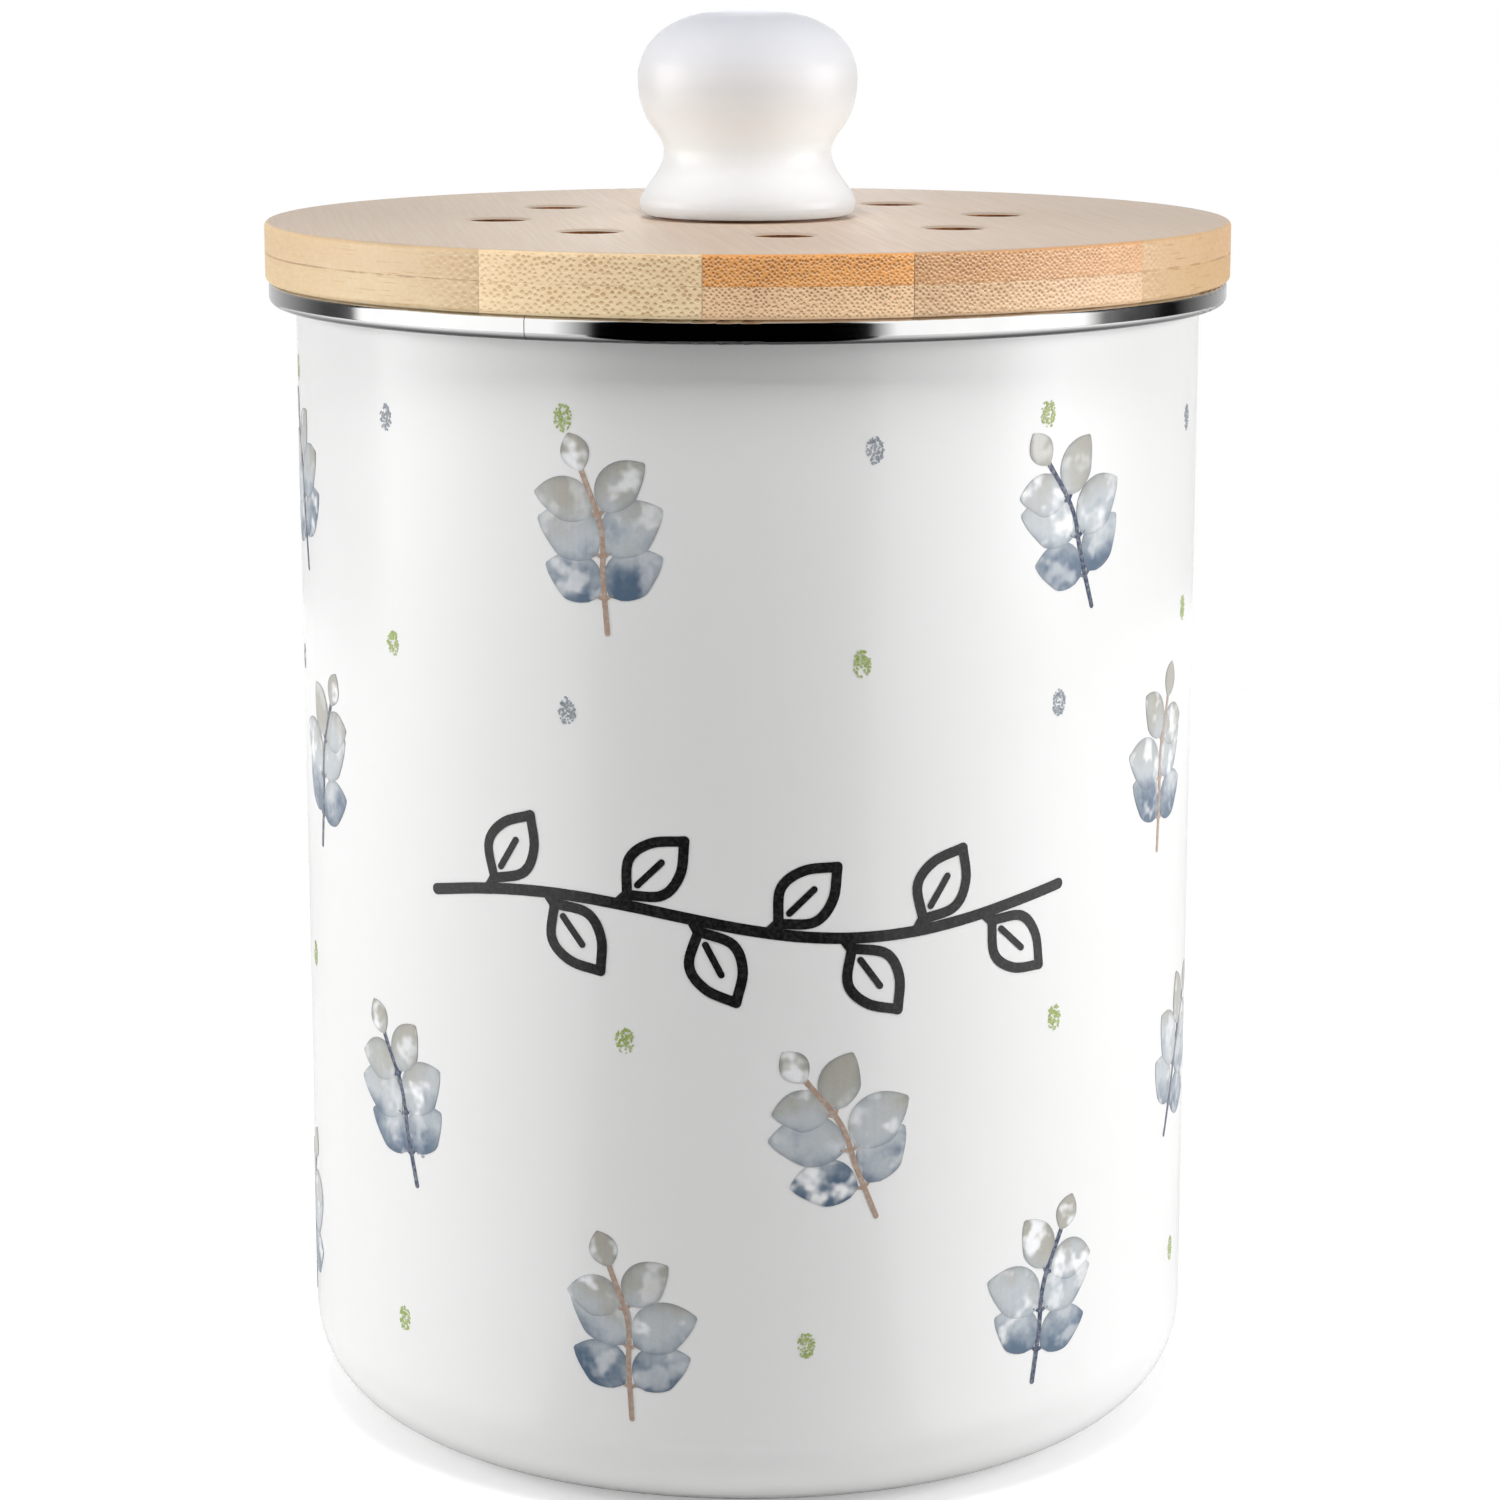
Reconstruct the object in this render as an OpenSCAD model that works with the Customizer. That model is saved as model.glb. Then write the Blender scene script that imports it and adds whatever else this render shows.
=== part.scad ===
// Countertop compost caddy: an enamelled steel can with a rolled rim under a
// stainless trim ring, and a lift-off bamboo lid with vents, a porcelain knob
// and a push-fit charcoal filter. Millimetres, +Z up, origin at the centre of
// the base, front at -Y.

/* [Can] */
// Outside diameter of the can
can_d = 157.6; // [120:0.2:220]
// Height of the seat that the lid rests on
can_h = 201.2; // [120:0.2:300]
// Thickness of the enamelled sheet
can_wall = 1.2; // [0.8:0.1:2]
// Outside radius of the bottom corner
can_corner_r = 17; // [8:0.5:25]
// Width of the flat ring that the can stands on
stand_ring_w = 5; // [3:0.5:8]
// How far the middle of the base is pressed up
base_lift = 2.4; // [1:0.1:4]

/* [Trim ring] */
// How far the trim ring stands out from the can
trim_overhang = 4.65; // [4:0.05:7]
// Thickness of the stainless strip
trim_wall = 0.5; // [0.4:0.05:0.8]
// Height of the trim ring
trim_h = 4; // [3.6:0.1:8]
// Radius of its upper outer corner
trim_top_r = 1; // [0.8:0.1:1.5]
// Radius of its lower outer corner
trim_bottom_r = 1.4; // [0.8:0.1:1.6]
// Direction of the butt seam, anticlockwise from +X
seam_angle = 245.1; // [0:0.1:360]
// Width of the butt seam
seam_gap = 0.15; // [0.1:0.05:0.5]

/* [Lid board] */
// How far the board reaches past the trim ring
lid_overhang = 0.55; // [0.2:0.05:6]
// Thickness of each of the two plies
ply_t = 5.1; // [4:0.1:9]
// Rounding of the board's edges
board_edge_r = 0.9; // [0.4:0.1:2]
// Glue joints between the strips, measured across the grain
strip_joints = [-52, -18.6, 14.6, 55.8]; // [-60:0.1:60]
// Turn of the grain about the axis
grain_angle = 8; // [0:1:90]
// Number of vent holes
vents = 8; // [4:1:12]
// Diameter of a vent hole
vent_d = 11; // [5:0.5:14]
// Distance from the plug bore in to the ring of vent centres
vent_inset = 16.2; // [12:0.1:20]
// Edge break round a vent
vent_bevel = 0.4; // [0.2:0.1:0.8]

/* [Plug and gasket] */
// Gap between the plug ring and the mouth
plug_gap = 2.6; // [2:0.1:5]
// Radial width of the plug ring
plug_w = 14.5; // [12:0.5:18]
// Depth of the plug ring
plug_h = 8; // [7:0.5:14]
// Height of the gasket's groove
groove_h = 3.4; // [2.5:0.1:4]
// Depth of the gasket's groove
groove_depth = 2; // [1.5:0.1:3]
// Number of screws through the plug ring
plug_screws = 4; // [4:1:8]

/* [Knob] */
// Diameter of the knob's head
knob_d = 38.2; // [30:0.2:44]
// Diameter of the knob's neck
neck_d = 29.2; // [20:0.2:30]
// Diameter of the knob's foot
foot_d = 37.8; // [30:0.2:44]
// Height of the knob
knob_h = 35.5; // [32:0.1:44]
// Height of the widest place of the head
head_z = 23.4; // [22:0.1:26]
// Height of the narrowest place of the neck
neck_z = 11; // [10:0.1:13]
// Thickness of the cushion under the knob
cushion_t = 0.5; // [0.3:0.1:1]
// Thread diameter of the knob bolt
bolt_d = 4; // [3:1:5]

/* [Filter] */
// Depth of the filter cup above its flange
cup_above = 5.6; // [4:0.1:6.5]
// Depth of the filter cup below its flange
cup_below = 2.4; // [1:0.1:6]
// Wall of the filter cup
cup_wall = 1.6; // [1.2:0.1:2]
// Diameter of a hole in the cup's floor
cup_hole_d = 6; // [4:0.5:7]
// Distance between the rings of holes
cup_hole_pitch = 13; // [11:0.5:16]
// Width of the pull tab
tab_w = 24; // [16:1:30]

/* [Hidden] */
$fn = 128;
eps = 0.01;

// Clearances
crimp_gap = 0.1;   // trim ring round the rolled rim
lip_gap = 0.4;     // gasket fins inside the mouth
cup_gap = 0.4;     // filter cup in the plug ring
rib_gap = 0.25;    // grip ribs of the cup in the plug ring
pad_gap = 0.2;     // charcoal pad inside the round corner of its cup
bolt_gap = 0.25;   // bolt in the board, on the radius

// Can and trim ring
can_r = can_d / 2;
mouth_r = can_r - can_wall - crimp_gap - trim_wall;
trim_r = can_r + trim_overhang;
trim_z = can_h - trim_h;
roll_r = trim_r - trim_wall - crimp_gap;
roll_z = trim_z + trim_wall + crimp_gap;
roll_top = can_h - trim_wall;
roll_corner_r = trim_top_r - trim_wall;
roll_foot_r = max(0, trim_bottom_r - trim_wall - crimp_gap);
stand_r = can_r - can_corner_r - stand_ring_w;
base_slope = 2;

// Lid
lid_r = trim_r + lid_overhang;
mid_z = can_h + ply_t;
lid_top = can_h + 2 * ply_t;
plug_r = mouth_r - plug_gap;
plug_z = can_h - plug_h;
bore_r = plug_r - plug_w;
fin_r = mouth_r - lip_gap;
fin_t = 0.7;
fin_rise = 0.9;
groove_z = plug_z + (plug_h - groove_h) / 2;
strip_edges = concat([-lid_r - 1], strip_joints, [lid_r + 1]);
strips = len(strip_edges) - 1;
vent_ring_r = bore_r - vent_inset;
vent_turn = 98;

// Screws through the plug ring
screw_d = 3.5;
screw_head_d = 7;
screw_head_h = 2.4;
screw_bite = 3.6;
screw_ring_r = plug_r - groove_depth - (plug_w - groove_depth) / 2;

// Knob and its bolt
foot_z = lid_top + cushion_t;
head_r = knob_d / 2;
neck_r = neck_d / 2;
foot_r = foot_d / 2;
foot_inset = 1.7;
foot_max_z = 1.9;
crown_r = 14.2;
cushion_r = neck_r + 1.1;
insert_d = 9;
insert_h = 17;
bolt_reach = 12;
washer_d = 12;
washer_t = 0.8;
bolt_head_d = 8;
bolt_head_h = 2.4;
sink_d = washer_d + 2;
sink_h = washer_t + bolt_head_h - 0.6;

// Filter cup and pad
cup_r = bore_r - cup_gap;
cup_flange_r = bore_r + 4;
cup_top = plug_z + cup_above;
cup_bottom = plug_z - cup_below - cup_wall;
cup_floor = cup_bottom + cup_wall;
cup_corner_r = 2;
grip_ribs = 8;
rib_r = 1;
cup_hole_rings = floor((cup_r - cup_wall - cup_hole_d) / cup_hole_pitch);
tab_t = 3;
tab_h = 8;
pad_r = cup_r - cup_wall - cup_corner_r / 2 - pad_gap;
pad_drop = 0.2;
pad_top = cup_top - pad_drop;

// A solid of revolution about the can's axis
module turned() {
    rotate_extrude() children();
}

// Half section of a ring or disc whose outer corners are rounded
module rounded_half(r_in, r_out, z_low, z_high, low_r, high_r) {
    side = r_out - max(low_r, high_r);
    translate([r_in, z_low]) square([side - r_in, z_high - z_low]);
    translate([r_in, z_low + low_r]) square([r_out - r_in, z_high - z_low - low_r - high_r]);
    translate([r_in, z_low]) square([r_out - low_r - r_in, low_r + eps]);
    translate([r_in, z_high - high_r - eps]) square([r_out - high_r - r_in, high_r + eps]);
    if (low_r > 0) translate([r_out - low_r, z_low + low_r]) circle(low_r);
    if (high_r > 0) translate([r_out - high_r, z_high - high_r]) circle(high_r);
}

module can_outside() {
    difference() {
        rounded_half(0, can_r, 0, roll_top, can_corner_r, 0);
        polygon([[0, 0], [stand_r, 0], [stand_r - base_slope, base_lift], [0, base_lift]]);
    }
}

module can_inside() {
    difference() {
        rounded_half(0, can_r - can_wall, can_wall, can_h, can_corner_r - can_wall, 0);
        polygon([
            [0, 0], [stand_r + can_wall, 0], [stand_r + can_wall, can_wall],
            [stand_r + can_wall - base_slope, base_lift + can_wall], [0, base_lift + can_wall]
        ]);
    }
}

// The sheet turned out and down at the mouth
module rolled_edge() {
    difference() {
        rounded_half(can_r - can_wall, roll_r, roll_z, roll_top, roll_foot_r, roll_corner_r);
        rounded_half(can_r, roll_r - can_wall, roll_z - 1, roll_top - can_wall, 0, can_wall / 2);
    }
}

module can_shell() {
    color("white")
        turned() {
            difference() {
                can_outside();
                can_inside();
            }
            rolled_edge();
        }
}

module trim_ring() {
    color("silver")
        difference() {
            turned()
                difference() {
                    rounded_half(mouth_r, trim_r, trim_z, can_h, trim_bottom_r, trim_top_r);
                    rounded_half(mouth_r + trim_wall, trim_r - trim_wall, trim_z + trim_wall, roll_top,
                        trim_bottom_r - trim_wall, roll_corner_r);
                    translate([mouth_r + trim_wall, trim_z - 1])
                        square([can_wall + 2 * crimp_gap, trim_wall + 1 + eps]);
                }
            rotate([0, 0, seam_angle])
                translate([can_r + can_wall / 2, -seam_gap / 2, trim_z - 1])
                    cube([trim_overhang + 1, seam_gap, trim_h + 2]);
        }
}

// Places its children at every vent hole
module at_vents() {
    for (i = [0:vents - 1])
        rotate([0, 0, vent_turn + i * 360 / vents])
            translate([vent_ring_r, 0, 0]) children();
}

// Places its children at one screw of the plug ring
module at_screw(i) {
    rotate([0, 0, grain_angle + (i - 0.5) * 360 / plug_screws])
        translate([screw_ring_r, 0, 0]) children();
}

// One strip of a ply, cut from the round board
module strip(i, z_low, z_high, low_r, high_r) {
    intersection() {
        turned() rounded_half(0, lid_r, z_low, z_high, low_r, high_r);
        rotate([0, 0, grain_angle])
            translate([strip_edges[i - 1], -lid_r - 1, z_low - 1])
                cube([strip_edges[i] - strip_edges[i - 1], 2 * lid_r + 2, z_high - z_low + 2]);
    }
}

module top_strip(i) {
    color("wheat")
        difference() {
            strip(i, mid_z, lid_top, 0, board_edge_r);
            at_vents() {
                translate([0, 0, mid_z - 1]) cylinder(d = vent_d, h = ply_t + 2);
                translate([0, 0, lid_top - vent_bevel])
                    cylinder(d1 = vent_d, d2 = vent_d + 4 * vent_bevel, h = 2 * vent_bevel);
            }
            translate([0, 0, mid_z - 1]) cylinder(r = bolt_d / 2 + bolt_gap, h = ply_t + 2);
        }
}

module bottom_strip(i) {
    color("burlywood")
        difference() {
            strip(i, can_h, mid_z, board_edge_r, 0);
            at_vents() translate([0, 0, can_h - 1]) cylinder(d = vent_d, h = ply_t + 2);
            translate([0, 0, can_h - 1]) cylinder(r = bolt_d / 2 + bolt_gap, h = ply_t + 2);
            translate([0, 0, can_h - 1]) cylinder(d = sink_d, h = sink_h + 1);
            for (k = [1:plug_screws])
                at_screw(k) translate([0, 0, can_h - 1]) cylinder(d = screw_d, h = screw_bite + 1);
        }
}

module plug_ring() {
    color("burlywood")
        difference() {
            turned()
                difference() {
                    rounded_half(bore_r, plug_r, plug_z, can_h, board_edge_r, 0);
                    translate([plug_r - groove_depth, groove_z]) square([groove_depth + 1, groove_h]);
                }
            for (k = [1:plug_screws])
                at_screw(k) {
                    translate([0, 0, plug_z - 1]) cylinder(d = screw_d, h = plug_h + 2);
                    translate([0, 0, plug_z])
                        cylinder(d1 = screw_head_d, d2 = screw_d, h = screw_head_h);
                }
        }
}

module plug_screw(i) {
    color("silver")
        at_screw(i)
            difference() {
                union() {
                    translate([0, 0, plug_z])
                        cylinder(d1 = screw_head_d, d2 = screw_d, h = screw_head_h);
                    translate([0, 0, plug_z]) cylinder(d = screw_d, h = plug_h + screw_bite);
                }
                for (turn = [0, 90])
                    rotate([0, 0, turn])
                        translate([-screw_head_d / 4, -0.5, plug_z - 1])
                            cube([screw_head_d / 2, 1, 1 + screw_head_h / 2]);
            }
}

// One sealing fin of the gasket, rising outward from its root
module fin(z) {
    translate([plug_r, z])
        polygon([[-eps, 0], [fin_r - plug_r, fin_rise], [fin_r - plug_r, fin_rise + fin_t / 2], [-eps, fin_t]]);
}

module lid_gasket() {
    color("whitesmoke")
        turned() {
            translate([plug_r - groove_depth, groove_z]) square([groove_depth, groove_h]);
            fin(groove_z + 0.3);
            fin(groove_z + groove_h - fin_t - 0.3);
        }
}

// Points along a cubic curve, without its last one
function curve(a, b, c, d, steps = 14) = [
    for (i = [0:steps - 1])
        let (t = i / steps, s = 1 - t)
        s * s * s * a + 3 * s * s * t * b + 3 * s * t * t * c + t * t * t * d
];

// Outline of the knob from the edge of its foot to the middle of its crown
function knob_outline() = concat(
    curve([foot_r - foot_inset, 0], [foot_r - foot_inset / 3, 0],
        [foot_r, foot_max_z / 2], [foot_r, foot_max_z]),
    curve([foot_r, foot_max_z], [foot_r, foot_max_z + 2.7],
        [neck_r, neck_z - 4], [neck_r, neck_z]),
    curve([neck_r, neck_z], [neck_r, neck_z + 3.5],
        [head_r, head_z - 8.1], [head_r, head_z]),
    curve([head_r, head_z], [head_r, head_z + 5.9],
        [crown_r, knob_h], [0, knob_h])
);

module knob() {
    color("white")
        translate([0, 0, foot_z])
            difference() {
                turned() polygon(concat([[0, 0]], knob_outline(), [[0, knob_h]]));
                translate([0, 0, -1]) cylinder(d = insert_d, h = insert_h + 1);
            }
}

module knob_insert() {
    color("gold")
        translate([0, 0, foot_z])
            difference() {
                cylinder(d = insert_d, h = insert_h);
                translate([0, 0, -1]) cylinder(d = bolt_d, h = insert_h);
            }
}

module knob_bolt() {
    under_washer = can_h + sink_h - washer_t;
    color("silver")
        difference() {
            union() {
                translate([0, 0, under_washer - bolt_head_h]) cylinder(d = bolt_head_d, h = bolt_head_h);
                translate([0, 0, under_washer - eps])
                    cylinder(d = bolt_d, h = foot_z + bolt_reach - under_washer);
            }
            for (turn = [0, 90])
                rotate([0, 0, turn])
                    translate([-bolt_head_d / 4, -0.5, under_washer - bolt_head_h - 1])
                        cube([bolt_head_d / 2, 1, 1 + bolt_head_h / 2]);
        }
}

module knob_washer() {
    color("silver")
        translate([0, 0, can_h + sink_h - washer_t])
            difference() {
                cylinder(d = washer_d, h = washer_t);
                translate([0, 0, -1]) cylinder(r = bolt_d / 2 + bolt_gap, h = washer_t + 2);
            }
}

module knob_cushion() {
    color("gainsboro")
        translate([0, 0, lid_top])
            difference() {
                cylinder(r = cushion_r, h = cushion_t);
                translate([0, 0, -1]) cylinder(r = bolt_d / 2 + bolt_gap, h = cushion_t + 2);
            }
}

// Holes in the cup's floor, ring by ring
module cup_holes() {
    for (ring = [1:cup_hole_rings], i = [0:6 * ring - 1])
        rotate([0, 0, i * 60 / ring])
            translate([ring * cup_hole_pitch, 0, cup_bottom - 1]) cylinder(d = cup_hole_d, h = cup_wall + 2);
}

module filter_cup() {
    color("dimgray") {
        difference() {
            turned()
                difference() {
                    union() {
                        rounded_half(0, cup_r, cup_bottom, cup_top, cup_corner_r, 0);
                        rounded_half(0, cup_flange_r, plug_z - cup_wall, plug_z, 0.5, 0);
                    }
                    rounded_half(0, cup_r - cup_wall, cup_floor, cup_top + 1, cup_corner_r / 2, 0);
                }
            cup_holes();
        }
        for (i = [0:grip_ribs - 1])
            rotate([0, 0, i * 360 / grip_ribs])
                translate([bore_r - rib_gap - rib_r, 0, plug_z - cup_wall / 2])
                    cylinder(r = rib_r, h = cup_top - plug_z);
        translate([-tab_w / 2, -tab_t / 2, cup_bottom - tab_h]) cube([tab_w, tab_t, tab_h + cup_wall / 2]);
    }
}

module filter_pad() {
    color("black")
        translate([0, 0, cup_floor]) cylinder(r = pad_r, h = pad_top - cup_floor);
}

can_shell();
trim_ring();
for (i = [1:strips]) {
    bottom_strip(i);
    top_strip(i);
}
plug_ring();
for (i = [1:plug_screws])
    plug_screw(i);
lid_gasket();
knob();
knob_insert();
knob_bolt();
knob_washer();
knob_cushion();
filter_cup();
filter_pad();
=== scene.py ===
"""Looks of the compost caddy: enamelled can, trim ring, bamboo lid, porcelain knob and charcoal filter.

Everything is in metres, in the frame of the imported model: +Z up, front at -Y. The CAD pieces keep
their shapes. This script gives them their finish, prints the can and sets the studio.
"""
import math
import random

import bmesh
import bpy
from mathutils import Matrix, Vector, noise

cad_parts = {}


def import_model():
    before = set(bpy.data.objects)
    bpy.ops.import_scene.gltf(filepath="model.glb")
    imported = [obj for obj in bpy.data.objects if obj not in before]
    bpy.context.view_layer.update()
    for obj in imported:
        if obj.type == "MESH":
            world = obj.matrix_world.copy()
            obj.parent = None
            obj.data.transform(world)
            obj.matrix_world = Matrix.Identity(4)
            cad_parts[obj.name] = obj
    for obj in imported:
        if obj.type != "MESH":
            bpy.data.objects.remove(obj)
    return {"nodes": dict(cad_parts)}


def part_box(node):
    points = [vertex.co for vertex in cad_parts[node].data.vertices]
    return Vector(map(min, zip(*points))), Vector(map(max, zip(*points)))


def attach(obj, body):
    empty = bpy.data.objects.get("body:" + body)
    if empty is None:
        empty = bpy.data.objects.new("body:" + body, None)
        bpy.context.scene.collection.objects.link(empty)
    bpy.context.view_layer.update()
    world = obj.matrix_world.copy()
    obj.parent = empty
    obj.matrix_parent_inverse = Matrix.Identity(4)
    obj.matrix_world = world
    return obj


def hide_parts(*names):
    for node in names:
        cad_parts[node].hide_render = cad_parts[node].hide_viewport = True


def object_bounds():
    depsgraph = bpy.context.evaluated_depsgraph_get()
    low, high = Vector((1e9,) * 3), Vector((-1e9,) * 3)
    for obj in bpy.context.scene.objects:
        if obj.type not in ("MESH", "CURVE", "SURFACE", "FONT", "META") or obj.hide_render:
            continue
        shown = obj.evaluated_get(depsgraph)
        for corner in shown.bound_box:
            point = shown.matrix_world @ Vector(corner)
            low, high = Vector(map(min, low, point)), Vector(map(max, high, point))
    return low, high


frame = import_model()
cad_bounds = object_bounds()
nodes = frame["nodes"]

MM = 0.001
WHITE = (1.0, 1.0, 1.0, 1.0)


# ---------------------------------------------------------------- sizes read from the frame

def radius(co):
    return math.hypot(co[0], co[1])


shell_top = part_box("can_shell")[1][2]
can_radius = max(radius(v.co) for v in nodes["can_shell"].data.vertices if v.co.z < shell_top / 2)
board_radius = cad_bounds[1][0]
board_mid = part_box("top_strip_3")[0][2]  # where the board's two plies are glued together
STRIPS = sum(name.startswith("top_strip_") for name in nodes)


def grain_of(strip):
    """Turn about Z of the direction across the grain. The largest upright face of a strip is its glued
    side, which runs along the grain, so the face's normal points across it."""
    turns = {}
    for face in strip.data.polygons:
        if abs(face.normal.z) < 0.01:
            turn = round(math.degrees(math.atan2(face.normal.y, face.normal.x)) % 180, 1)
            turns[turn] = turns.get(turn, 0) + face.area
    return math.radians(max(turns, key=turns.get))


grain_turn = grain_of(nodes["top_strip_3"])
across_grain = Vector((math.cos(grain_turn), math.sin(grain_turn), 0))
along_grain = Vector((-math.sin(grain_turn), math.cos(grain_turn), 0))


# ---------------------------------------------------------------- colour and node helpers

def srgb(text):
    """A colour written as six hex digits, as the linear RGBA that Blender's nodes take."""
    channels = [int(text[i:i + 2], 16) / 255 for i in (0, 2, 4)]
    return tuple(c / 12.92 if c <= 0.04045 else ((c + 0.055) / 1.055) ** 2.4 for c in channels) + (1.0,)


class Shader:
    """A material and short calls for the nodes in it."""

    def __init__(self, name):
        self.material = bpy.data.materials.new(name)
        self.material.use_nodes = True
        self.tree = self.material.node_tree
        self.surface = self.tree.nodes["Principled BSDF"]

    def add(self, kind, sockets=None, **settings):
        node = self.tree.nodes.new(kind)
        for key, value in settings.items():
            setattr(node, key, value)
        for socket, value in (sockets or {}).items():
            self.feed(node.inputs[socket], value)
        return node

    def feed(self, socket, value):
        if isinstance(value, bpy.types.NodeSocket):
            self.tree.links.new(value, socket)
        else:
            socket.default_value = value

    def set(self, **sockets):
        """Sets inputs of the main surface; underscores in a name stand for spaces."""
        for name, value in sockets.items():
            self.feed(self.surface.inputs[name.replace("_", " ")], value)

    def place(self):
        """The point on the piece, in millimetres of the row frame."""
        at = self.add("ShaderNodeTexCoord").outputs["Object"]
        return self.add("ShaderNodeVectorMath", {0: at, "Scale": 1 / MM}, operation="SCALE").outputs[0]

    def stretch(self, vector, factors):
        node = self.add("ShaderNodeVectorMath", {0: vector, 1: factors}, operation="MULTIPLY")
        return node.outputs[0]

    def shift(self, vector, by):
        return self.add("ShaderNodeVectorMath", {0: vector, 1: by}, operation="ADD").outputs[0]

    def turn(self, vector, angle):
        """The vector turned about Z."""
        node = self.add("ShaderNodeVectorRotate", {"Vector": vector, "Angle": angle},
                        rotation_type="Z_AXIS")
        return node.outputs[0]

    def split(self, vector):
        return self.add("ShaderNodeSeparateXYZ", {0: vector}).outputs[:3]

    def join(self, x=0.0, y=0.0, z=0.0):
        return self.add("ShaderNodeCombineXYZ", {0: x, 1: y, 2: z}).outputs[0]

    def math(self, operation, a, b=0.0, clamp=False):
        node = self.add("ShaderNodeMath", {0: a, 1: b}, operation=operation, use_clamp=clamp)
        return node.outputs[0]

    def absolute(self, a):
        return self.math("ABSOLUTE", a)

    def plus(self, a, b):
        return self.math("ADD", a, b)

    def minus(self, a, b, clamp=False):
        return self.math("SUBTRACT", a, b, clamp)

    def larger(self, a, b):
        return self.math("MAXIMUM", a, b)

    def times(self, first, *others):
        for factor in others:
            first = self.math("MULTIPLY", first, factor)
        return first

    def fit(self, value, low, high, to_low=0.0, to_high=1.0, smooth=True):
        """Takes low..high to to_low..to_high and stops at both ends; smooth eases in and out."""
        node = self.add("ShaderNodeMapRange", {"Value": value, "From Min": low, "From Max": high,
                                               "To Min": to_low, "To Max": to_high})
        node.interpolation_type = "SMOOTHSTEP" if smooth else "LINEAR"
        return node.outputs[0]

    def mix(self, factor, a, b):
        """Colour a where the factor is 0 and colour b where it is 1."""
        node = self.add("ShaderNodeMix", data_type="RGBA")
        for socket, value in ((0, factor), (6, a), (7, b)):
            self.feed(node.inputs[socket], value)
        return node.outputs[2]

    def noise(self, vector, scale, detail=3.0, roughness=0.55):
        node = self.add("ShaderNodeTexNoise", {"Vector": vector, "Scale": scale, "Detail": detail,
                                               "Roughness": roughness})
        return node.outputs["Fac"]

    def cells(self, vector, scale, randomness=1.0, dimensions="3D"):
        node = self.add("ShaderNodeTexVoronoi", voronoi_dimensions=dimensions)
        for name, value in (("Vector", vector), ("Scale", scale), ("Randomness", randomness)):
            self.feed(node.inputs[name], value)
        return node.outputs

    def facing(self, way):
        """How far the surface faces that way in the row frame, from -1 to 1."""
        normal = self.add("ShaderNodeNewGeometry").outputs["Normal"]
        local = self.add("ShaderNodeVectorTransform", {"Vector": normal}, vector_type="NORMAL",
                         convert_from="WORLD", convert_to="OBJECT").outputs[0]
        along = self.add("ShaderNodeVectorMath", {0: local, 1: way}, operation="DOT_PRODUCT")
        return along.outputs["Value"]

    def attribute(self, name):
        return self.add("ShaderNodeAttribute", attribute_name=name).outputs["Fac"]

    def bump(self, height, depth):
        """height is 0 to 1, and depth is what 1 stands for, in metres."""
        node = self.add("ShaderNodeBump", {"Height": height, "Distance": depth, "Strength": 1.0})
        return node.outputs[0]


# ---------------------------------------------------------------- materials

def enamel():
    """Vitreous enamel: white, glossy, with a faint orange peel."""
    s = Shader("enamel")
    at = s.place()
    peel = s.noise(at, 0.12, 2.0)
    cloud = s.noise(at, 0.02, 1.0)
    s.set(Base_Color=s.mix(cloud, srgb("E3E3E2"), srgb("E6E6E6")), IOR=1.5,
          Roughness=s.fit(cloud, 0.3, 0.7, 0.16, 0.2), Normal=s.bump(peel, 0.02 * MM))
    return s.material


def stainless():
    """Polished strip, with faint lines of rolling round it and painted shade where it turns under: its
    downward faces are coloured dark.
    """
    s = Shader("stainless")
    at = s.place()
    lines = s.noise(s.stretch(at, (0.05, 0.05, 9.0)), 1.0, 2.0)
    smear = s.noise(at, 0.08, 3.0)
    # Painted shade: faces that point down, under the turned rim, are mixed towards dark grey 333333.
    painted_underside_shade = s.fit(s.facing((0, 0, -1)), 0.1, 0.75, 0.0, 0.94)
    steel = s.mix(smear, srgb("D6D6D6"), srgb("E2E2E1"))
    s.set(Base_Color=s.mix(painted_underside_shade, steel, srgb("333333")), Metallic=1.0,
          Roughness=s.fit(smear, 0.3, 0.7, 0.07, 0.11), Normal=s.bump(lines, 0.002 * MM))
    return s.material


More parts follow.
